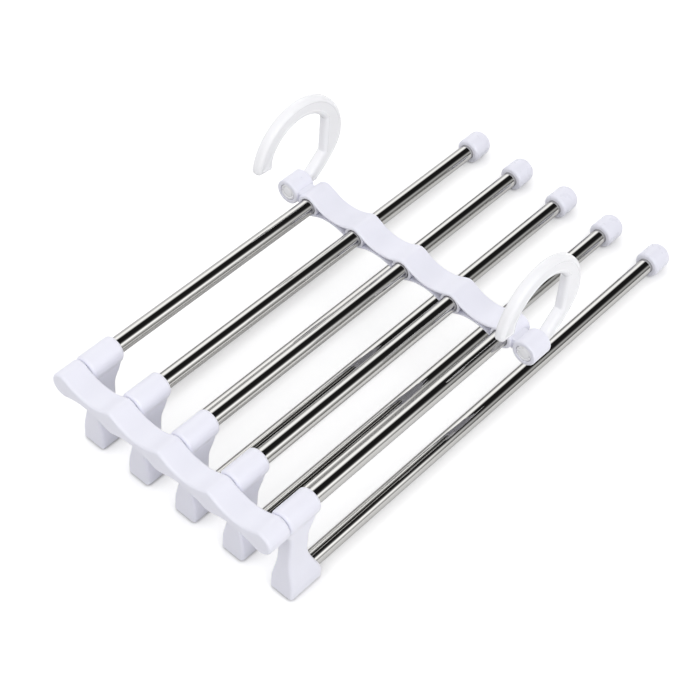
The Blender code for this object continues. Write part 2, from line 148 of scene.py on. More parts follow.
def stitched(solid, rings):
    """Faces between each ring of points and the next."""
    for ring, following in zip(rings, rings[1:]):
        for index, start in enumerate(ring):
            solid.faces.new((ring[index - 1], start, following[index], following[index - 1]))


def eased(edge, steps):
    """A quarter round from a face to its side: how far each step is drawn in, and its way from the face."""
    pairs = []
    for index in range(steps + 1):
        angle = math.pi / 2 * index / steps
        pairs.append((edge * (1 - math.sin(angle)), edge * (1 - math.cos(angle))))
    return pairs


def edge_layers(depth, edge):
    """How far each layer of a piece with two rounded edges is drawn in, and its place through the depth."""
    front = eased(edge, EDGE_STEPS)
    return front + [(draw, depth - level) for draw, level in reversed(front)]


def layered_slab(outline, front, layers):
    """A solid along Y from an outline in X and Z, with (how far it is drawn in, place) for each layer."""
    solid = bmesh.new()
    rings = []
    for draw, level in layers:
        points = drawn_in(outline, draw)
        rings.append([solid.verts.new((point.x, front + level, point.y)) for point in points])
    stitched(solid, rings)
    solid.faces.new(rings[0])
    solid.faces.new(rings[-1])
    bmesh.ops.remove_doubles(solid, verts=solid.verts, dist=WELD_DISTANCE)
    bmesh.ops.recalc_face_normals(solid, faces=solid.faces)
    return solid


def rounded_slab(outline, front, depth, edge):
    """A slab with its front and back edges rounded, or left sharp where the edge is nothing."""
    return layered_slab(outline, front, edge_layers(depth, edge) if edge else [(0, 0), (0, depth)])


def turned(profile, centre):
    """A solid turned about a line along Y from (radius, place) pairs, closed by flat discs."""
    solid = bmesh.new()
    rings = []
    for radius, place in profile:
        ring = []
        for side in range(TURNED_SIDES):
            angle = 2 * math.pi * side / TURNED_SIDES
            offset = Vector((radius * math.cos(angle), place, radius * math.sin(angle)))
            ring.append(solid.verts.new(Vector(centre) + offset))
        rings.append(ring)
    stitched(solid, rings)
    solid.faces.new(rings[0])
    solid.faces.new(rings[-1])
    bmesh.ops.recalc_face_normals(solid, faces=solid.faces)
    return solid


def beaded_side(radius, top, bottom, bead_at, grow):
    """Side of a journal with a snap bead; grow widens it into the bore that takes it."""
    side = radius + grow
    ridge = side + BEAD_HEIGHT
    half = BEAD_WIDTH / 2 + grow
    return [(side, top), (side, bead_at + half), (ridge, bead_at), (side, bead_at - half), (side, bottom)]


def spigot(grow, overlap, end_gap, axis):
    """A bracket's spigot, or its bore, from the bracket's front face forward."""
    end = -SPIGOT_LENGTH - end_gap
    bead_at = BEAD_INSET - SPIGOT_LENGTH
    return turned(beaded_side(SPIGOT_RADIUS, overlap, end, bead_at, grow), axis)


def wave_knots(crest, dip, sole, arch, reach):
    """Outline of a wavy bar: a crest over each arm, a dip between arms and round ends."""
    knots = []
    outer = ARM_AXES[-1].x
    end_pull = CIRCLE_PULL * (crest + sole) / 2
    last = 2 * len(ARM_AXES) - 2
    for side, peak, hollow in ((1, crest, dip), (-1, -sole, -arch)):
        for index in range(last + 1):
            at_arm = index % 2 == 0
            pull = CREST_PULL if at_arm else VALLEY_PULL
            before = CIRCLE_PULL * reach if index == 0 else pull
            after = CIRCLE_PULL * reach if index == last else pull
            x = side * (index / 2 * ARM_PITCH - outer)
            level = AXIS_Z + (peak if at_arm else hollow)
            knots.append(knot(x, level, (-side * before, 0), (side * after, 0)))
        middle = AXIS_Z + (crest - sole) / 2
        knots.append(knot(side * (outer + reach), middle, (0, side * end_pull), (0, -side * end_pull)))
    return knots


def as_object(name, solid):
    """An object in the scene with the solid as its mesh."""
    mesh = bpy.data.meshes.new(name)
    solid.to_mesh(mesh)
    solid.free()
    item = bpy.data.objects.new(name, mesh)
    bpy.context.scene.collection.objects.link(item)
    return item


def baked(piece):
    """Give a piece its evaluated shape as a plain mesh and drop its modifiers."""
    bpy.context.view_layer.update()
    graph = bpy.context.evaluated_depsgraph_get()
    mesh = bpy.data.meshes.new_from_object(piece.evaluated_get(graph), depsgraph=graph)
    mesh.name = piece.name
    piece.modifiers.clear()
    piece.data = mesh


def carved(name, solid, changes):
    """A piece made of a solid with others joined to it or cut from it, in order."""
    piece = as_object(name, solid)
    tools = []
    for operation, other in changes:
        tool = as_object("tool", other)
        change = piece.modifiers.new(operation.lower(), "BOOLEAN")
        change.operation = operation
        change.solver = "EXACT"
        change.object = tool
        tools.append(tool)
    baked(piece)
    for tool in tools:
        bpy.data.objects.remove(tool)
    return piece


def finished(piece, material, node, body):
    """Smooth the rounds, keep the flats flat, and hand the piece over in place of its CAD node."""
    work = bmesh.new()
    work.from_mesh(piece.data)
    bmesh.ops.remove_doubles(work, verts=work.verts, dist=WELD_DISTANCE)
    work.to_mesh(piece.data)
    work.free()
    piece.data.shade_smooth()
    piece.data.set_sharp_from_angle(angle=SHARP_ANGLE)
    flats = piece.modifiers.new("flats", "WEIGHTED_NORMAL")
    flats.keep_sharp = True
    baked(piece)
    piece.data.materials.clear()
    piece.data.materials.append(material)
    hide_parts(node)
    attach(piece, body)


def linear(hex_code):
    """An sRGB hex colour as the linear colour that shaders take."""
    shares = [int(hex_code[index:index + 2], 16) / 255 for index in (1, 3, 5)]
    return [s / 12.92 if s <= 0.04045 else ((s + 0.055) / 1.055) ** 2.4 for s in shares] + [1.0]


def add_node(tree, kind, inputs=None, **settings):
    """A node with its settings; an input is a constant or the socket that it is linked from."""
    node = tree.nodes.new(kind)
    for name, value in settings.items():
        setattr(node, name, value)
    for name, value in (inputs or {}).items():
        if isinstance(value, bpy.types.NodeSocket):
            tree.links.new(value, node.inputs[name])
        else:
            node.inputs[name].default_value = value
    return node


# Flow clouds in the plastic are about 22 mm across, and the skin's gloss wanders over about 5 mm. The orange
# peel of the mould's skin is drawn at 0.9 mm, because the real 0.3 mm would not show.
CLOUD_SIZE = 22 * MM
PATCH_SIZE = 5 * MM
PEEL_SIZE = 0.9 * MM
PEEL_HEIGHT = 0.02 * MM
PEEL_STRENGTH = 0.05
GLOSS_SPREAD = 0.03
SOAK_DEPTH = 1.5 * MM
POLYOLEFIN_IOR = 1.49


def moulded_plastic(name, pale, deep, rough, glow):
    """Injection moulded polyolefin: faint flow clouds, a satin skin that varies a little, orange peel."""
    material = bpy.data.materials.new(name)
    material.use_nodes = True
    tree = material.node_tree
    shader = tree.nodes["Principled BSDF"]
    place = add_node(tree, "ShaderNodeTexCoord").outputs["Object"]
    clouds = add_node(tree, "ShaderNodeTexNoise", {"Vector": place, "Scale": 1 / CLOUD_SIZE, "Detail": 3.0})
    # A colour mix has its two colours on sockets 6 and 7
    tint = {0: clouds.outputs["Fac"], 6: linear(pale), 7: linear(deep)}
    colour = add_node(tree, "ShaderNodeMix", tint, data_type="RGBA")
    tree.links.new(colour.outputs[2], shader.inputs["Base Color"])
    patches = add_node(tree, "ShaderNodeTexNoise", {"Vector": place, "Scale": 1 / PATCH_SIZE, "Detail": 2.0})
    gloss = add_node(tree, "ShaderNodeMapRange", {
        "Value": patches.outputs["Fac"], "To Min": rough - GLOSS_SPREAD, "To Max": rough + GLOSS_SPREAD})
    tree.links.new(gloss.outputs["Result"], shader.inputs["Roughness"])
    peel = add_node(tree, "ShaderNodeTexNoise", {"Vector": place, "Scale": 1 / PEEL_SIZE, "Detail": 1.0})
    bump = add_node(tree, "ShaderNodeBump", {
        "Height": peel.outputs["Fac"], "Strength": PEEL_STRENGTH, "Distance": PEEL_HEIGHT})
    tree.links.new(bump.outputs["Normal"], shader.inputs["Normal"])
    shader.inputs["IOR"].default_value = POLYOLEFIN_IOR
    shader.inputs["Subsurface Weight"].default_value = glow
    shader.inputs["Subsurface Radius"].default_value = (1.0, 1.0, 1.0)
    shader.inputs["Subsurface Scale"].default_value = SOAK_DEPTH
    return material


# White polypropylene, satin from a polished mould: a cool white that only its round edges catch light on
bar_plastic = moulded_plastic(
    "moulded_white_polypropylene_bar", pale="#f2f2fd", deep="#eeeef9", rough=0.32, glow=0.06)
bar_low, bar_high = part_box("front_wave_bar")
front_outline = traced(wave_knots(
    bar_high.z - AXIS_Z, FRONT_BAR_DIP, AXIS_Z - bar_low.z, FRONT_BAR_ARCH,
    bar_high.x - ARM_AXES[-1].x), OUTLINE_STEPS)
front_solid = rounded_slab(front_outline, bar_low.y, bar_high.y - bar_low.y, BAR_EDGE)
bores = [("DIFFERENCE", spigot(RUN_GAP, CUT_OVERRUN, FACE_GAP, axis)) for axis in ARM_AXES]
front_bar = carved("front_bar", front_solid, bores)
finished(front_bar, bar_plastic, "front_wave_bar", "frame")

# Foot brackets: five mouldings of the same polypropylene, each a round collar, a waisted leg and a flared
# base in one. The two tubes of an arm are pressed into its blind sockets from behind, and the spigot on
# its front turns in the front bar.
FOOT_EDGE = 1.8 * MM
COLLAR_RADIUS = 7.2 * MM
COLLAR_LENGTH = 21.5 * MM
COLLAR_BLEND = 6.5 * MM
LEG_WIDTH = 9.2 * MM
LEG_LEVEL = 9 * MM
LEG_PULL = 3 * MM
NECK_WIDTH = 8.7 * MM
NECK_LEVEL = 30 * MM
NECK_FRONT = 3.3 * MM
NECK_FRONT_LEVEL = 16 * MM
NECK_BACK = 17.2 * MM
NECK_BACK_TOP = 21 * MM
NECK_BACK_BOTTOM = 32 * MM
BASE_WIDTH = 15 * MM
BASE_LEVEL = 55 * MM
BASE_FRONT = 3 * MM
BASE_BACK = 26 * MM
BASE_BACK_LEVEL = 57.2 * MM
BASE_CORNER = 2.2 * MM
FLARE_PULL = 12 * MM
FLARE_FOOT_PULL = 8 * MM
HEEL_FLARE_PULL = 9 * MM
HEEL_FOOT_PULL = 4.7 * MM
LEG_STEPS = 12
SOCKET_WALL = 3 * MM
PRESS_GAP = 0.25 * MM
lower_low, lower_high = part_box("lower_tube_1")
TUBE_RADIUS = (lower_high.x - lower_low.x) / 2
LOWER_AXIS_Z = (lower_high.z + lower_low.z) / 2


def foot_front_knots():
    """Front outline: round collar, narrow leg, flared base with a flat sole."""
    collar_pull = CIRCLE_PULL * COLLAR_RADIUS
    corner_pull = CIRCLE_PULL * BASE_CORNER
    half_base = BASE_WIDTH / 2
    half = [
        knot(0, COLLAR_RADIUS, (-collar_pull, 0), (collar_pull, 0)),
        knot(COLLAR_RADIUS, 0, (0, collar_pull), (0, -collar_pull)),
        knot(LEG_WIDTH / 2, -LEG_LEVEL, (0, LEG_PULL)),
        knot(NECK_WIDTH / 2, -NECK_LEVEL, (0, 0), (0, -FLARE_PULL)),
        knot(half_base, -BASE_LEVEL, (0, FLARE_FOOT_PULL)),
        knot(half_base, BASE_CORNER - AXIS_Z, (0, 0), (0, -corner_pull)),
        knot(half_base - BASE_CORNER, -AXIS_Z, (corner_pull, 0)),
    ]
    flip = Vector((-1, 1))
    return half + [(place * flip, after * flip, before * flip) for place, before, after in half[:0:-1]]


def foot_side_runs():
    """Front and back edge of the side outline, from the collar's top down to the sole."""
    front_pull = (NECK_FRONT_LEVEL - COLLAR_BLEND) / 2
    back_pull = (NECK_BACK_TOP - COLLAR_BLEND) / 2
    front = [
        knot(0, COLLAR_RADIUS),
        knot(0, -COLLAR_BLEND, (0, 0), (0, -front_pull)),
        knot(NECK_FRONT, -NECK_FRONT_LEVEL, (0, front_pull)),
        knot(BASE_FRONT, -BASE_LEVEL),
        knot(BASE_FRONT, -AXIS_Z),
    ]
    back = [
        knot(COLLAR_LENGTH, COLLAR_RADIUS),
        knot(COLLAR_LENGTH, -COLLAR_BLEND, (0, 0), (0, -back_pull)),
        knot(NECK_BACK, -NECK_BACK_TOP, (0, back_pull)),
        knot(NECK_BACK, -NECK_BACK_BOTTOM, (0, 0), (0, -HEEL_FLARE_PULL)),
        knot(BASE_BACK, -BASE_BACK_LEVEL, (0, HEEL_FOOT_PULL)),
        knot(BASE_BACK, -AXIS_Z),
    ]
    runs = []
    for knots in (front, back):
        points = []
        for start, end in zip(knots, knots[1:]):
            points += run_points(start, end, 2 * LEG_STEPS)
        runs.append(points + [knots[-1][0]])
    return runs


def depth_at(level, run):
    """How far back an edge of the side outline lies at a level."""
    for above, below in zip(run, run[1:]):
        if level >= below.y:
            share = min(max((above.y - level) / (above.y - below.y), 0), 1)
            return above.x + (below.x - above.x) * share
    return run[-1].x


def foot_solid(axis):
    """A bracket with its collar's front face at the arm's axis point, rounded at front and back."""
    outline = traced(foot_front_knots(), OUTLINE_STEPS, LEG_STEPS)
    front, back = foot_side_runs()
    solid = bmesh.new()
    rings = []
    for run, inward in ((front, 1), (back, -1)):
        for draw, level in eased(FOOT_EDGE, EDGE_STEPS)[::inward]:
            ring = []
            for point in drawn_in(outline, draw):
                place = Vector((point.x, depth_at(point.y, run) + inward * level, point.y))
                ring.append(solid.verts.new(axis + place))
            rings.append(ring)
    stitched(solid, rings)
    # The curved front and back are closed by strips from the left half of the outline to the right half
    for ring in (rings[0], rings[-1]):
        for index in range(len(ring) // 2):
            across = (ring[index], ring[index + 1], ring[-index - 1], ring[-index])
            solid.faces.new(tuple(dict.fromkeys(across)))
    bmesh.ops.recalc_face_normals(solid, faces=solid.faces)
    return solid


# The same white polypropylene as the bars, with a little more gloss on the collars' rounds
bracket_plastic = moulded_plastic(
    "moulded_white_polypropylene_bracket", pale="#f2f2fd", deep="#eeeef9", rough=0.31, glow=0.06)
for number, (axis, body) in enumerate(zip(ARM_AXES, ARM_BODIES), start=1):
    socket = TUBE_RADIUS + PRESS_GAP
    upper_socket = turned([(socket, SOCKET_WALL), (socket, COLLAR_LENGTH + CUT_OVERRUN)], axis)
    lower_axis = (axis.x, axis.y, LOWER_AXIS_Z)
    lower_socket = turned(
        [(socket, BASE_FRONT + SOCKET_WALL), (socket, BASE_BACK + CUT_OVERRUN)], lower_axis)
    bracket = carved(f"bracket_{number}", foot_solid(axis), [
        ("UNION", spigot(0, SOCKET_WALL / 2, 0, axis)),
        ("DIFFERENCE", upper_socket),
        ("DIFFERENCE", lower_socket),
    ])
    finished(bracket, bracket_plastic, f"foot_bracket_{number}", body)

# Rails: ten thin-walled stainless tubes, drawn and then polished to a mirror, two to an arm. Both are
# pressed into the bracket; the upper one turns in the hook bar and the lower one carries the trousers.
TUBE_WALL = 0.6 * MM
RAIL_SIDES = 72
# Draw lines are about 1.5 mm apart and run for 90 mm, on a skin that is buffed smooth to 0.002 mm
LINE_GAP = 1.5 * MM
LINE_LENGTH = 90 * MM
LINE_DEPTH = 0.002 * MM


def rail_tree():
    """Sweeps a round wall along the path that the object holds, as wide as the path's swell says."""
    tree = bpy.data.node_groups.new("drawn_tube", "GeometryNodeTree")
    inputs = {"Path": "Geometry", "Radius": "Float", "Wall": "Float", "Sides": "Int", "Metal": "Material"}
    for name, kind in inputs.items():
        tree.interface.new_socket(name, in_out="INPUT", socket_type=f"NodeSocket{kind}")
    tree.interface.new_socket("Tube", in_out="OUTPUT", socket_type="NodeSocketGeometry")
    given = add_node(tree, "NodeGroupInput").outputs
    path = add_node(tree, "GeometryNodeMeshToCurve", {"Mesh": given["Path"]})
    swell = add_node(tree, "GeometryNodeInputNamedAttribute", {"Name": "swell"}, data_type="FLOAT")
    bore = add_node(tree, "ShaderNodeMath", {0: given["Radius"], 1: given["Wall"]}, operation="SUBTRACT")
    ring = add_node(tree, "GeometryNodeCurvePrimitiveCircle", {
        "Resolution": given["Sides"], "Radius": bore.outputs["Value"]})
    inside = add_node(tree, "GeometryNodeCurveToMesh", {
        "Curve": path.outputs["Curve"], "Profile Curve": ring.outputs["Curve"],
        "Scale": swell.outputs["Attribute"]})
    wall = add_node(tree, "GeometryNodeExtrudeMesh", {
        "Mesh": inside.outputs["Mesh"], "Offset Scale": given["Wall"], "Individual": False})
    turned_in = add_node(tree, "GeometryNodeFlipFaces", {"Mesh": inside.outputs["Mesh"]})
    both = add_node(tree, "GeometryNodeJoinGeometry")
    tree.links.new(wall.outputs["Mesh"], both.inputs["Geometry"])
    tree.links.new(turned_in.outputs["Mesh"], both.inputs["Geometry"])
    welded = add_node(tree, "GeometryNodeMergeByDistance", {
        "Geometry": both.outputs["Geometry"], "Distance": WELD_DISTANCE})
    real = add_node(tree, "GeometryNodeRealizeInstances", {"Geometry": welded.outputs["Geometry"]})
    metal = add_node(tree, "GeometryNodeSetMaterial", {
        "Geometry": real.outputs["Geometry"], "Material": given["Metal"]})
    add_node(tree, "NodeGroupOutput", {"Tube": metal.outputs["Geometry"]})
    return tree


def polished_tube_steel():
    """Stainless steel, drawn then buffed: a clear mirror, its gloss a little streaked lengthwise."""
    material = bpy.data.materials.new("polished_stainless_tube")
    material.use_nodes = True
    tree = material.node_tree
    shader = tree.nodes["Principled BSDF"]
    shader.inputs["Metallic"].default_value = 1.0
    # A grey edge tint: the limbs of a rail mirror a little less than chrome would
    shader.inputs["Specular Tint"].default_value = linear("#c0c0c2")
    place = add_node(tree, "ShaderNodeTexCoord").outputs["Object"]
    stretch = (1 / LINE_GAP, 1 / LINE_LENGTH, 1 / LINE_GAP)
    lines = add_node(tree, "ShaderNodeMapping", {"Vector": place, "Scale": stretch})
    streaks = add_node(tree, "ShaderNodeTexNoise", {
        "Vector": lines.outputs["Vector"], "Scale": 1.0, "Detail": 2.0})
    haze = add_node(tree, "ShaderNodeMapRange", {
        "Value": streaks.outputs["Fac"], "To Min": 0.02, "To Max": 0.05})
    tree.links.new(haze.outputs["Result"], shader.inputs["Roughness"])
    tint = {0: streaks.outputs["Fac"], 6: linear("#c1c0bd"), 7: linear("#bab9b7")}
    tone = add_node(tree, "ShaderNodeMix", tint, data_type="RGBA")
    tree.links.new(tone.outputs[2], shader.inputs["Base Color"])
    # The lines are too shallow to tilt the mirror much
    groove = add_node(tree, "ShaderNodeBump", {
        "Height": streaks.outputs["Fac"], "Strength": 0.1, "Distance": LINE_DEPTH})
    tree.links.new(groove.outputs["Normal"], shader.inputs["Normal"])
    return material


tube_steel = polished_tube_steel()
tube_sweep = rail_tree()
sweep_sockets = {item.name: item.identifier for item in tube_sweep.interface.items_tree}
for kind in ("upper", "lower"):
    for number, (axis, body) in enumerate(zip(ARM_AXES, ARM_BODIES), start=1):
        node = f"{kind}_tube_{number}"
        low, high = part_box(node)
        level = (low.z + high.z) / 2
        stations = [(low.y, 1), (high.y, 1)]
        if kind == "upper":
            bead = high.y - BEAD_INSET
            ridge = 1 + BEAD_HEIGHT / (TUBE_RADIUS - TUBE_WALL)
            stations[1:1] = [(bead - BEAD_WIDTH / 2, 1), (bead, ridge), (bead + BEAD_WIDTH / 2, 1)]
        path = bpy.data.meshes.new("rail_path")
        steps = [(index, index + 1) for index in range(len(stations) - 1)]
        path.from_pydata([(axis.x, y, level) for y, _ in stations], steps, [])
        swell = path.attributes.new("swell", "FLOAT", "POINT")
        swell.data.foreach_set("value", [share for _, share in stations])
        rail = bpy.data.objects.new(f"{kind}_rail_{number}", path)
        bpy.context.scene.collection.objects.link(rail)
        sweep = rail.modifiers.new("sweep", "NODES")
        sweep.node_group = tube_sweep
        sweep[sweep_sockets["Radius"]] = TUBE_RADIUS
        sweep[sweep_sockets["Wall"]] = TUBE_WALL
        sweep[sweep_sockets["Sides"]] = RAIL_SIDES
        sweep[sweep_sockets["Metal"]] = tube_steel
        baked(rail)
        finished(rail, tube_steel, node, body)

# End caps: five push-on cups of white polyethylene that close the lower rails, so that the cloth slides
# over a round end without a snag. Each is moulded with an eased lip and a well rounded end.
CAP_ROUND = 4.8 * MM
CAP_LIP = 1.5 * MM
CAP_GRIP = 0.03 * MM
CAP_END_WALL = 3 * MM
CAP_ROUND_STEPS = 12
# Polyethylene from a polished mould: a shade glossier and greyer than the bars
cap_plastic = moulded_plastic(
    "moulded_white_polyethylene_cap", pale="#ececf7", deep="#e9e9f4", rough=0.28, glow=0.06)
for number, body in enumerate(ARM_BODIES, start=1):
    node = f"end_cap_{number}"
    low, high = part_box(node)
    cap_radius = (high.x - low.x) / 2
    cap_length = high.y - low.y
    cap_bore = TUBE_RADIUS + CAP_GRIP
    far_round = eased(CAP_ROUND, CAP_ROUND_STEPS)
    mouth_round = eased(CAP_LIP, EDGE_STEPS)[::-1]
    profile = [(cap_radius - draw, cap_length - level) for draw, level in far_round]
    profile += [(cap_radius - draw, level) for draw, level in mouth_round]
    profile += [(cap_bore, 0), (cap_bore, cap_length - CAP_END_WALL)]
    centre = ((low.x + high.x) / 2, low.y, (low.z + high.z) / 2)
    cap = as_object(f"cap_{number}", turned(profile, centre))
    finished(cap, cap_plastic, node, body)

# Hook bar: one moulding of white polypropylene that ties the far ends of the upper rails together. It is
# cored out from the front between the five bosses that the rails turn in, and a short web at each end
# carries the round eye of a hook.
HOOK_BAR_DIP = 1.8 * MM
HOOK_BAR_CREST = 6.6 * MM
HOOK_BAR_REACH = 7.3 * MM
HOOK_BAR_EDGE = 0.9 * MM
POCKET_DEPTH = 12 * MM
POCKET_WALL = 1.2 * MM
POCKET_END_BLOCK = 15 * MM
BOSS_RADIUS = 6.4 * MM
TUBE_SEAT = 12 * MM
EYE_RADIUS = 7.4 * MM
EYE_LENGTH = 14.3 * MM
EYE_RECESS = 2.2 * MM
EYE_EDGE = 0.9 * MM
EYE_CHAMFER = 0.25 * MM
GATE_RADIUS = 0.42 * MM
GATE_DEPTH = 0.4 * MM
GATE_INSET = 8.8 * MM
GATE_LEAN = math.radians(18)
WEB_HEIGHT = 7.2 * MM
WEB_INSET = 1.5 * MM
WEB_EDGE = 0.6 * MM
PIN_RADIUS = 2.8 * MM
PIN_HEAD_RADIUS = 4.7 * MM
HOOK_JOINTS = [joint for joint in frame["joints"] if joint["name"].endswith("hook_swivel")]
EYE_XS = [joint["pos_m"][0] for joint in HOOK_JOINTS]


def rectangle(near, far, bottom, top):
    """Outline of a plain rectangle."""
    return traced([knot(near, bottom), knot(near, top), knot(far, top), knot(far, bottom)], 1)


def pocket_core(front):
    """The cored space between the bosses, before the hook bar is cut by it."""
    level = HOOK_BAR_CREST - POCKET_WALL
    dip = HOOK_BAR_DIP - POCKET_WALL
    outline = traced(wave_knots(level, dip, level, dip, HOOK_BAR_REACH - POCKET_WALL), OUTLINE_STEPS)
    core = rounded_slab(outline, front - CUT_OVERRUN, POCKET_DEPTH + CUT_OVERRUN, 0)
    before = 2 * CUT_OVERRUN
    beyond = POCKET_DEPTH + CUT_OVERRUN
    keeps = []
    for axis in ARM_AXES:
        centre = (axis.x, front, axis.z)
        keeps.append(turned([(BOSS_RADIUS, beyond), (BOSS_RADIUS, -before)], centre))
    for side in (-1, 1):
        near = side * ARM_AXES[-1].x
        far = near + side * POCKET_END_BLOCK
        block = rectangle(near, far, AXIS_Z - POCKET_END_BLOCK, AXIS_Z + POCKET_END_BLOCK)
        keeps.append(rounded_slab(block, front - before, before + beyond, 0))
    piece = carved("core", core, [("DIFFERENCE", keep) for keep in keeps])
    work = bmesh.new()
    work.from_mesh(piece.data)
    bpy.data.objects.remove(piece)
    return work


hook_bar_low, hook_bar_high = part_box("hook_bar")
bar_front = hook_bar_low.y
hook_outline = traced(wave_knots(
    HOOK_BAR_CREST, HOOK_BAR_DIP, HOOK_BAR_CREST, HOOK_BAR_DIP, HOOK_BAR_REACH), OUTLINE_STEPS)
hook_bar_solid = rounded_slab(hook_outline, bar_front, hook_bar_high.y - bar_front, HOOK_BAR_EDGE)
changes = []
for eye_x in EYE_XS:
    near = math.copysign(ARM_AXES[-1].x, eye_x)
    half = WEB_HEIGHT / 2
    web = rectangle(near, eye_x, AXIS_Z - half, AXIS_Z + half)
    web_depth = EYE_LENGTH - 2 * WEB_INSET
    changes.append(("UNION", rounded_slab(web, bar_front + WEB_INSET, web_depth, WEB_EDGE)))
    rims = edge_layers(EYE_LENGTH, EYE_EDGE)
    eye_profile = [(EYE_RADIUS - draw, EYE_LENGTH - level) for draw, level in rims]
    changes.append(("UNION", turned(eye_profile, (eye_x, bar_front, AXIS_Z))))
changes.append(("DIFFERENCE", pocket_core(bar_front)))
for axis in ARM_AXES:
    seat = beaded_side(TUBE_RADIUS, TUBE_SEAT + FACE_GAP, -CUT_OVERRUN, TUBE_SEAT - BEAD_INSET, RUN_GAP)
    changes.append(("DIFFERENCE", turned(seat, (axis.x, bar_front, axis.z))))
for eye_x in EYE_XS:
    pin_bore = PIN_RADIUS + RUN_GAP
    recess = PIN_HEAD_RADIUS + RUN_GAP
    hole = [(pin_bore, EYE_LENGTH + CUT_OVERRUN), (pin_bore, EYE_RECESS), (recess, EYE_RECESS)]
    hole += [(recess, EYE_CHAMFER), (recess + EYE_CHAMFER, 0), (recess + EYE_CHAMFER, -CUT_OVERRUN)]
    changes.append(("DIFFERENCE", turned(hole, (eye_x, bar_front, AXIS_Z))))
# The small gate mark of the mould, on top of the left eye
gate_top = EYE_RADIUS + CUT_OVERRUN / 2
gate = turned([(GATE_RADIUS, gate_top), (GATE_RADIUS, EYE_RADIUS - GATE_DEPTH)], (0, 0, 0))
gate.transform(Matrix.Rotation(GATE_LEAN, 4, "Y") @ Matrix.Rotation(math.pi / 2, 4, "X"))
gate.transform(Matrix.Translation((EYE_XS[0], bar_front + GATE_INSET, AXIS_Z)))
changes.append(("DIFFERENCE", gate))
hook_bar = carved("rear_bar", hook_bar_solid, changes)
finished(hook_bar, bar_plastic, "hook_bar", "frame")

# Hooks: two C-shaped hooks of milky polypropylene, each moulded in one with its stem and pin. The pin goes
# through the eye of the hook bar and its end is staked over into a domed head that sits in the recess.
HOOK_RADIUS = 28.7 * MM
HOOK_RISE = 24.6 * MM
HOOK_SETBACK = 8.3 * MM
HOOK_WIDTH = 10.6 * MM
HOOK_THICKNESS = 6.2 * MM
HOOK_EDGE = 2.3 * MM
PANEL_DRAW = 0.25 * MM
PANEL_SLOPE = 0.4 * MM
PANEL_DROP = 0.25 * MM
HOOK_TIP_ANGLE = math.radians(173.5)
HOOK_BACK_ANGLE = math.radians(-3)
HOOK_LEAN = math.radians(-3.5)
HOOK_ARC_STEPS = 5
TIP_OUTER_ROUND = 2.4 * MM
TIP_INNER_ROUND = 1.5 * MM
TIP_LIP = 1.1 * MM
TIP_LIP_LENGTH = 7.5 * MM
FLANK_TOP = 36 * MM
FLANK_BOTTOM = 13.6 * MM
FLANK_INSET = 1.4 * MM
STEM_RISE = 3.4 * MM
STEM_DROP = 3.1 * MM
STEM_DEPTH = 6.8 * MM
STEM_PULL = 12 * MM
HEEL_PULL = 5 * MM
HEEL_BULGE = 6.5 * MM
PIN_HEAD_THICKNESS = 1.65 * MM
PIN_HEAD_EDGE = 0.3 * MM
HEAD_LIP = 0.9 * MM
HEAD_GROOVE = 0.45 * MM
DOME_RADIUS = 3.3 * MM
DOME_HEIGHT = 0.6 * MM
DOME_STEPS = 6
NOTCH_OFFSET = 4.1 * MM
NOTCH_LENGTH = 1 * MM
NOTCH_WIDTH = 1.5 * MM
NOTCH_DEPTH = 0.7 * MM


def arc_knots(centre, radius, start, stop, count, lead_in=(0, 0), lead_out=(0, 0)):
    """Knots along a circular arc, with pulls that keep it round and others for what meets its ends."""
    step = (stop - start) / count
    pull = 4 / 3 * math.tan(step / 4) * radius
    knots = []
    for index in range(count + 1):
        angle = start + index * step
        out = Vector((math.cos(angle), math.sin(angle)))
        along = Vector((-out.y, out.x)) * pull
        before = lead_in if index == 0 else -along
        after = lead_out if index == count else along
        knots.append(knot(*(centre + out * radius), before, after))
    return knots


def hook_outline_knots(stem_front):
    """Side outline: outer arc, square tip with a lip, inner arc, straight flank and slanting stem."""
    centre = Vector((HOOK_SETBACK, HOOK_RISE))
    outer_radius = HOOK_RADIUS + HOOK_WIDTH / 2
    inner_radius = HOOK_RADIUS - HOOK_WIDTH / 2
    flank_angle = math.asin((FLANK_TOP - HOOK_RISE) / inner_radius)
    flank_y = HOOK_SETBACK + inner_radius * math.cos(flank_angle) - FLANK_INSET
    out = Vector((math.cos(HOOK_TIP_ANGLE), math.sin(HOOK_TIP_ANGLE)))
    onward = Vector((-out.y, out.x))
    outer_pull = CIRCLE_PULL * TIP_OUTER_ROUND
    inner_pull = CIRCLE_PULL * TIP_INNER_ROUND
    outer_stop = HOOK_TIP_ANGLE - TIP_OUTER_ROUND / outer_radius
    lip_radius = inner_radius - TIP_LIP
    lip_start = HOOK_TIP_ANGLE - TIP_LIP_LENGTH / inner_radius
    heel = Vector((math.sin(HOOK_BACK_ANGLE), -math.cos(HOOK_BACK_ANGLE))) * STEM_PULL
    outer = arc_knots(
        centre, outer_radius, HOOK_BACK_ANGLE, outer_stop, HOOK_ARC_STEPS, heel, onward * outer_pull)
    tip = [
        knot(*(centre + out * (outer_radius - TIP_OUTER_ROUND)), out * outer_pull),
        knot(*(centre + out * (lip_radius + TIP_INNER_ROUND)), (0, 0), -out * inner_pull),
        knot(*(centre + out * lip_radius - onward * TIP_INNER_ROUND), onward * inner_pull),
    ]
    inner = arc_knots(centre, inner_radius, lip_start, flank_angle, HOOK_ARC_STEPS)
    stem = [
        knot(flank_y, FLANK_BOTTOM),
        knot(stem_front, STEM_RISE),
        knot(stem_front, -STEM_DROP),
        knot(stem_front + STEM_DEPTH, -STEM_DROP, (0, 0), (HEEL_BULGE, HEEL_PULL)),
    ]
    return [*outer, *tip, *inner, *stem]


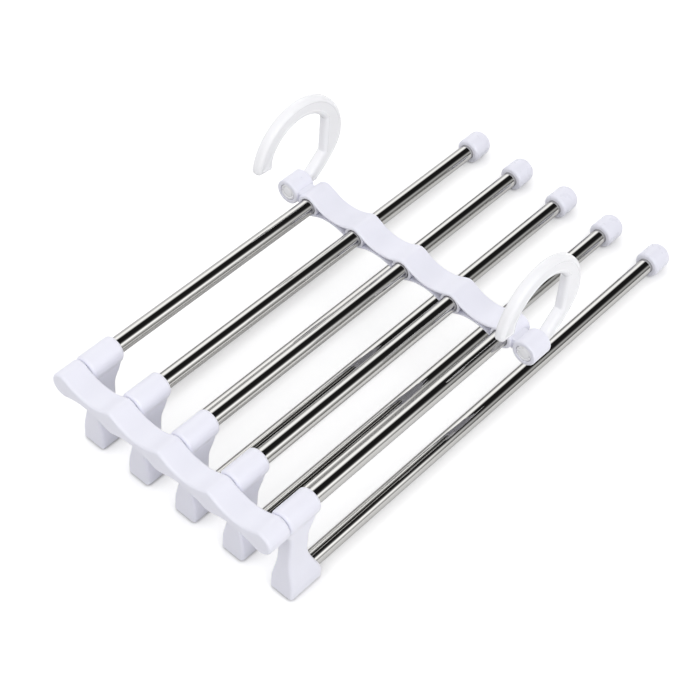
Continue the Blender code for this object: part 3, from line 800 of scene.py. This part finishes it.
def pin_profile(stem_front):
    """The pin from inside the stem to its staked head: a lip, a groove and a low dome."""
    head_far = EYE_RECESS - FACE_GAP
    head_near = head_far - PIN_HEAD_THICKNESS
    profile = [
        (PIN_RADIUS, stem_front + STEM_DEPTH / 2),
        (PIN_RADIUS, head_far),
        (PIN_HEAD_RADIUS, head_far),
        (PIN_HEAD_RADIUS, head_near + PIN_HEAD_EDGE),
        (PIN_HEAD_RADIUS - PIN_HEAD_EDGE, head_near),
        (PIN_HEAD_RADIUS - HEAD_LIP, head_near),
    ]
    for index in range(DOME_STEPS):
        angle = math.pi / 2 * index / DOME_STEPS
        level = head_near + HEAD_GROOVE - DOME_HEIGHT * math.sin(angle)
        profile.append((DOME_RADIUS * math.cos(angle), level))
    return profile, head_near


# Natural polypropylene with a little white in it: milky, lets light soak in and glow through thin limbs
hook_plastic = moulded_plastic(
    "milky_polypropylene_hook", pale="#fbfbfe", deep="#f7f7fb", rough=0.20, glow=0.15)
stem_front = EYE_LENGTH + FACE_GAP
outline = traced(hook_outline_knots(stem_front), OUTLINE_STEPS)
rim = HOOK_EDGE + PANEL_DRAW
panel = rim + PANEL_SLOPE
layers = [
    (panel, PANEL_DROP),
    (rim, 0),
    *edge_layers(HOOK_THICKNESS, HOOK_EDGE),
    (rim, HOOK_THICKNESS),
    (panel, HOOK_THICKNESS - PANEL_DROP),
]
# The slab is made along Y, and its outline then stands in Y and Z
swapped = Matrix(((0, 1, 0), (1, 0, 0), (0, 0, 1))).to_4x4()
for joint, node in zip(HOOK_JOINTS, ("left_hook", "right_hook")):
    hook_solid = layered_slab(outline, -HOOK_THICKNESS / 2, layers)
    hook_solid.transform(swapped)
    bmesh.ops.recalc_face_normals(hook_solid, faces=hook_solid.faces)
    profile, head_near = pin_profile(stem_front)
    changes = [("UNION", turned(profile, (0, 0, 0)))]
    for side in (-1, 1):
        left = side * NOTCH_OFFSET - NOTCH_LENGTH / 2
        right = side * NOTCH_OFFSET + NOTCH_LENGTH / 2
        notch = rectangle(left, right, -NOTCH_WIDTH / 2, NOTCH_WIDTH / 2)
        cutter = rounded_slab(notch, head_near - NOTCH_DEPTH, 2 * NOTCH_DEPTH, 0)
        changes.append(("DIFFERENCE", cutter))
    hook = carved(f"{node}_moulding", hook_solid, changes)
    eye = Matrix.Translation((joint["pos_m"][0], bar_front, AXIS_Z))
    hook.data.transform(eye @ Matrix.Rotation(HOOK_LEAN, 4, "Y"))
    finished(hook, hook_plastic, node, joint["child"])

# Studio: a pale paper floor, a dark flag over the far side that draws the black line along the rails, and
# soft white panels to both sides and over the camera. The camera stands where the photograph was taken.
scene = bpy.context.scene
scene.view_settings.view_transform = "Standard"

FLOOR_RADIUS = 20.0
FLOOR_SIDES = 96
FLOOR_GAP = 0.1 * MM
floor_mesh = bmesh.new()
bmesh.ops.create_circle(floor_mesh, cap_ends=True, segments=FLOOR_SIDES, radius=FLOOR_RADIUS)
bmesh.ops.translate(floor_mesh, verts=floor_mesh.verts, vec=(0, 0, cad_low.z - FLOOR_GAP))
floor = as_object("floor", floor_mesh)
paper = bpy.data.materials.new("matt_white_paper")
paper.use_nodes = True
tree = paper.node_tree
tree.nodes.clear()
path = add_node(tree, "ShaderNodeLightPath").outputs
seen = add_node(tree, "ShaderNodeMath", {
    0: path["Is Camera Ray"], 1: path["Is Glossy Ray"]}, operation="MAXIMUM")
shown = add_node(tree, "ShaderNodeMath", {
    0: seen.outputs[0], 1: path["Is Transmission Ray"]}, operation="MAXIMUM")
# The sheet shows nearly white, and sends less light than that up to the object
tint = {0: shown.outputs[0], 6: linear("#b3b3b5"), 7: linear("#cececf")}
sheet_colour = add_node(tree, "ShaderNodeMix", tint, data_type="RGBA")
matt = add_node(tree, "ShaderNodeBsdfDiffuse", {"Color": sheet_colour.outputs[2]})
# Near the object the sheet's glow is painted darker from its ambient occlusion: a painted soft shadow, and a
# painted dark line where a foot touches it. Each has how far it reaches and how deep it is.
PAINTED_SHADOWS = [(8 * MM, 0.65), (1.5 * MM, 1.0)]
SHEET_GLOW = 0.60
painted_shadow_share = shown
for reach, depth in PAINTED_SHADOWS:
    near_floor = add_node(tree, "ShaderNodeAmbientOcclusion", {"Distance": reach}, samples=8)
    open_share = add_node(tree, "ShaderNodeMath", {
        0: near_floor.outputs["AO"], 1: depth}, operation="POWER")
    painted_shadow_share = add_node(tree, "ShaderNodeMath", {
        0: painted_shadow_share.outputs[0], 1: open_share.outputs[0]}, operation="MULTIPLY")
# The glow that keeps the sheet white, with the painted shadow taken out of it near the object
glow = add_node(tree, "ShaderNodeMath", {0: painted_shadow_share.outputs[0], 1: SHEET_GLOW}, operation="MULTIPLY")
white = add_node(tree, "ShaderNodeEmission", {"Strength": glow.outputs[0]})
sheet = add_node(tree, "ShaderNodeAddShader", {0: matt.outputs["BSDF"], 1: white.outputs["Emission"]})
add_node(tree, "ShaderNodeOutputMaterial", {"Surface": sheet.outputs["Shader"]})
floor.data.materials.append(paper)
floor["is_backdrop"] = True

world = bpy.data.worlds.new("studio")
scene.world = world
world.use_nodes = True
tree = world.node_tree
tree.nodes.clear()
look = add_node(tree, "ShaderNodeTexCoord").outputs["Generated"]
way = add_node(tree, "ShaderNodeSeparateXYZ", {"Vector": look}).outputs
turn = add_node(tree, "ShaderNodeMath", {0: way["X"], 1: way["Z"]}, operation="ARCTAN2")
round_rails = add_node(tree, "ShaderNodeMath", {0: turn.outputs[0]}, operation="DEGREES").outputs[0]
# How bright the far side of the studio is, by degrees round the rails from straight up: a panel on the
# left, the dark flag, and a panel on the right that fades towards the back
FAR_LEFT = [
    (-110, 0.60), (-90, 0.80), (-72, 1.40), (-60, 1.85), (-48, 1.85), (-40, 1.65), (-34, 1.20), (-28, 0.50),
    (-22, 0.02), (22, 0.015),
]
FAR_RIGHT = [
    (22, 0.0), (32, 0.05), (38, 0.18), (43, 0.60), (48, 1.40), (53, 1.90), (62, 1.90), (68, 1.30),
    (76, 0.80), (84, 0.55), (95, 0.45),
]
RIGHT_FADE = [(0.48, 1.0), (0.505, 0.9), (0.52, 0.75), (0.535, 0.48), (0.55, 0.36), (0.62, 0.33)]
# Where the far side begins and ends, from the front to the back
FAR_REACH = [(0.15, 0.0), (0.4, 1.0), (0.68, 1.0), (0.88, 0.0)]
# How bright the rest of the studio is, from the front to the back and from left to right
FRONT_TO_BACK = [
    (-1.0, 0.32), (-0.8, 1.08), (-0.5, 1.74), (-0.1, 1.01), (0.1, 0.90), (0.7, 0.84), (0.95, 1.08),
]
LEFT_TO_RIGHT = [(-1.0, 0.72), (-0.3, 0.88), (0.1, 1.00), (0.4, 0.88), (0.7, 0.55)]
# A panel to the right, by how far right it starts and how far to the front and back it goes
PANEL_START = [(0.4, 0.0), (0.8, 1.0)]
PANEL_WIDTH = [(-0.45, 0.0), (-0.2, 2.05), (0.15, 2.05), (0.3, 0.0)]
graded = {}
for name, value, half_span, stops in (
        ("far_left", round_rails, 180.0, FAR_LEFT),
        ("far_right", round_rails, 180.0, FAR_RIGHT),
        ("right_fade", way["Y"], 1.0, RIGHT_FADE),
        ("far_reach", way["Y"], 1.0, FAR_REACH),
        ("front_to_back", way["Y"], 1.0, FRONT_TO_BACK),
        ("left_to_right", way["X"], 1.0, LEFT_TO_RIGHT),
        ("panel_start", way["X"], 1.0, PANEL_START),
        ("panel_width", way["Y"], 1.0, PANEL_WIDTH)):
    share = add_node(tree, "ShaderNodeMapRange", {
        "Value": value, "From Min": -half_span, "From Max": half_span})
    ramp = add_node(tree, "ShaderNodeValToRGB", {"Fac": share.outputs["Result"]})
    bands = ramp.color_ramp.elements
    bands.remove(bands[1])
    for index, (at, level) in enumerate(stops):
        band = bands[0] if index == 0 else bands.new(1.0)
        band.position = at / (2 * half_span) + 0.5
        band.color = (level, level, level, 1)
    graded[name] = ramp.outputs["Color"]
dome = add_node(tree, "ShaderNodeMath", {
    0: graded["front_to_back"], 1: graded["left_to_right"]}, operation="MULTIPLY")
near_side = add_node(tree, "ShaderNodeMath", {
    0: graded["panel_start"], 1: graded["panel_width"], 2: dome.outputs[0]}, operation="MULTIPLY_ADD")
far_side = add_node(tree, "ShaderNodeMath", {
    0: graded["far_right"], 1: graded["right_fade"], 2: graded["far_left"]}, operation="MULTIPLY_ADD")
# A mix of plain values has them on sockets 2 and 3
light = add_node(tree, "ShaderNodeMix", {
    0: graded["far_reach"], 2: near_side.outputs[0], 3: far_side.outputs[0]})
studio_light = add_node(tree, "ShaderNodeBackground", {"Color": light.outputs[0]})
add_node(tree, "ShaderNodeOutputWorld", {"Surface": studio_light.outputs["Background"]})

AZIMUTH = math.radians(37.97)
ELEVATION = math.radians(48.51)
ROLL = math.radians(5.35)
CAMERA_PLACE = (0.3982, -0.5491, 0.7765)
FOCAL_LENGTH = 97.45
SENSOR_WIDTH = 36.0
back = Vector((
    math.sin(AZIMUTH) * math.cos(ELEVATION), -math.cos(AZIMUTH) * math.cos(ELEVATION), math.sin(ELEVATION)))
level_right = Vector((0, 0, 1)).cross(back).normalized()
level_up = back.cross(level_right)
right = math.cos(ROLL) * level_right + math.sin(ROLL) * level_up
up = math.cos(ROLL) * level_up - math.sin(ROLL) * level_right
lens = bpy.data.cameras.new("camera")
lens.lens = FOCAL_LENGTH
lens.sensor_width = SENSOR_WIDTH
camera = bpy.data.objects.new("camera", lens)
scene.collection.objects.link(camera)
facing = Matrix((right, up, back)).transposed().to_4x4()
camera.matrix_world = Matrix.Translation(CAMERA_PLACE) @ facing
scene.camera = camera

low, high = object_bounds()
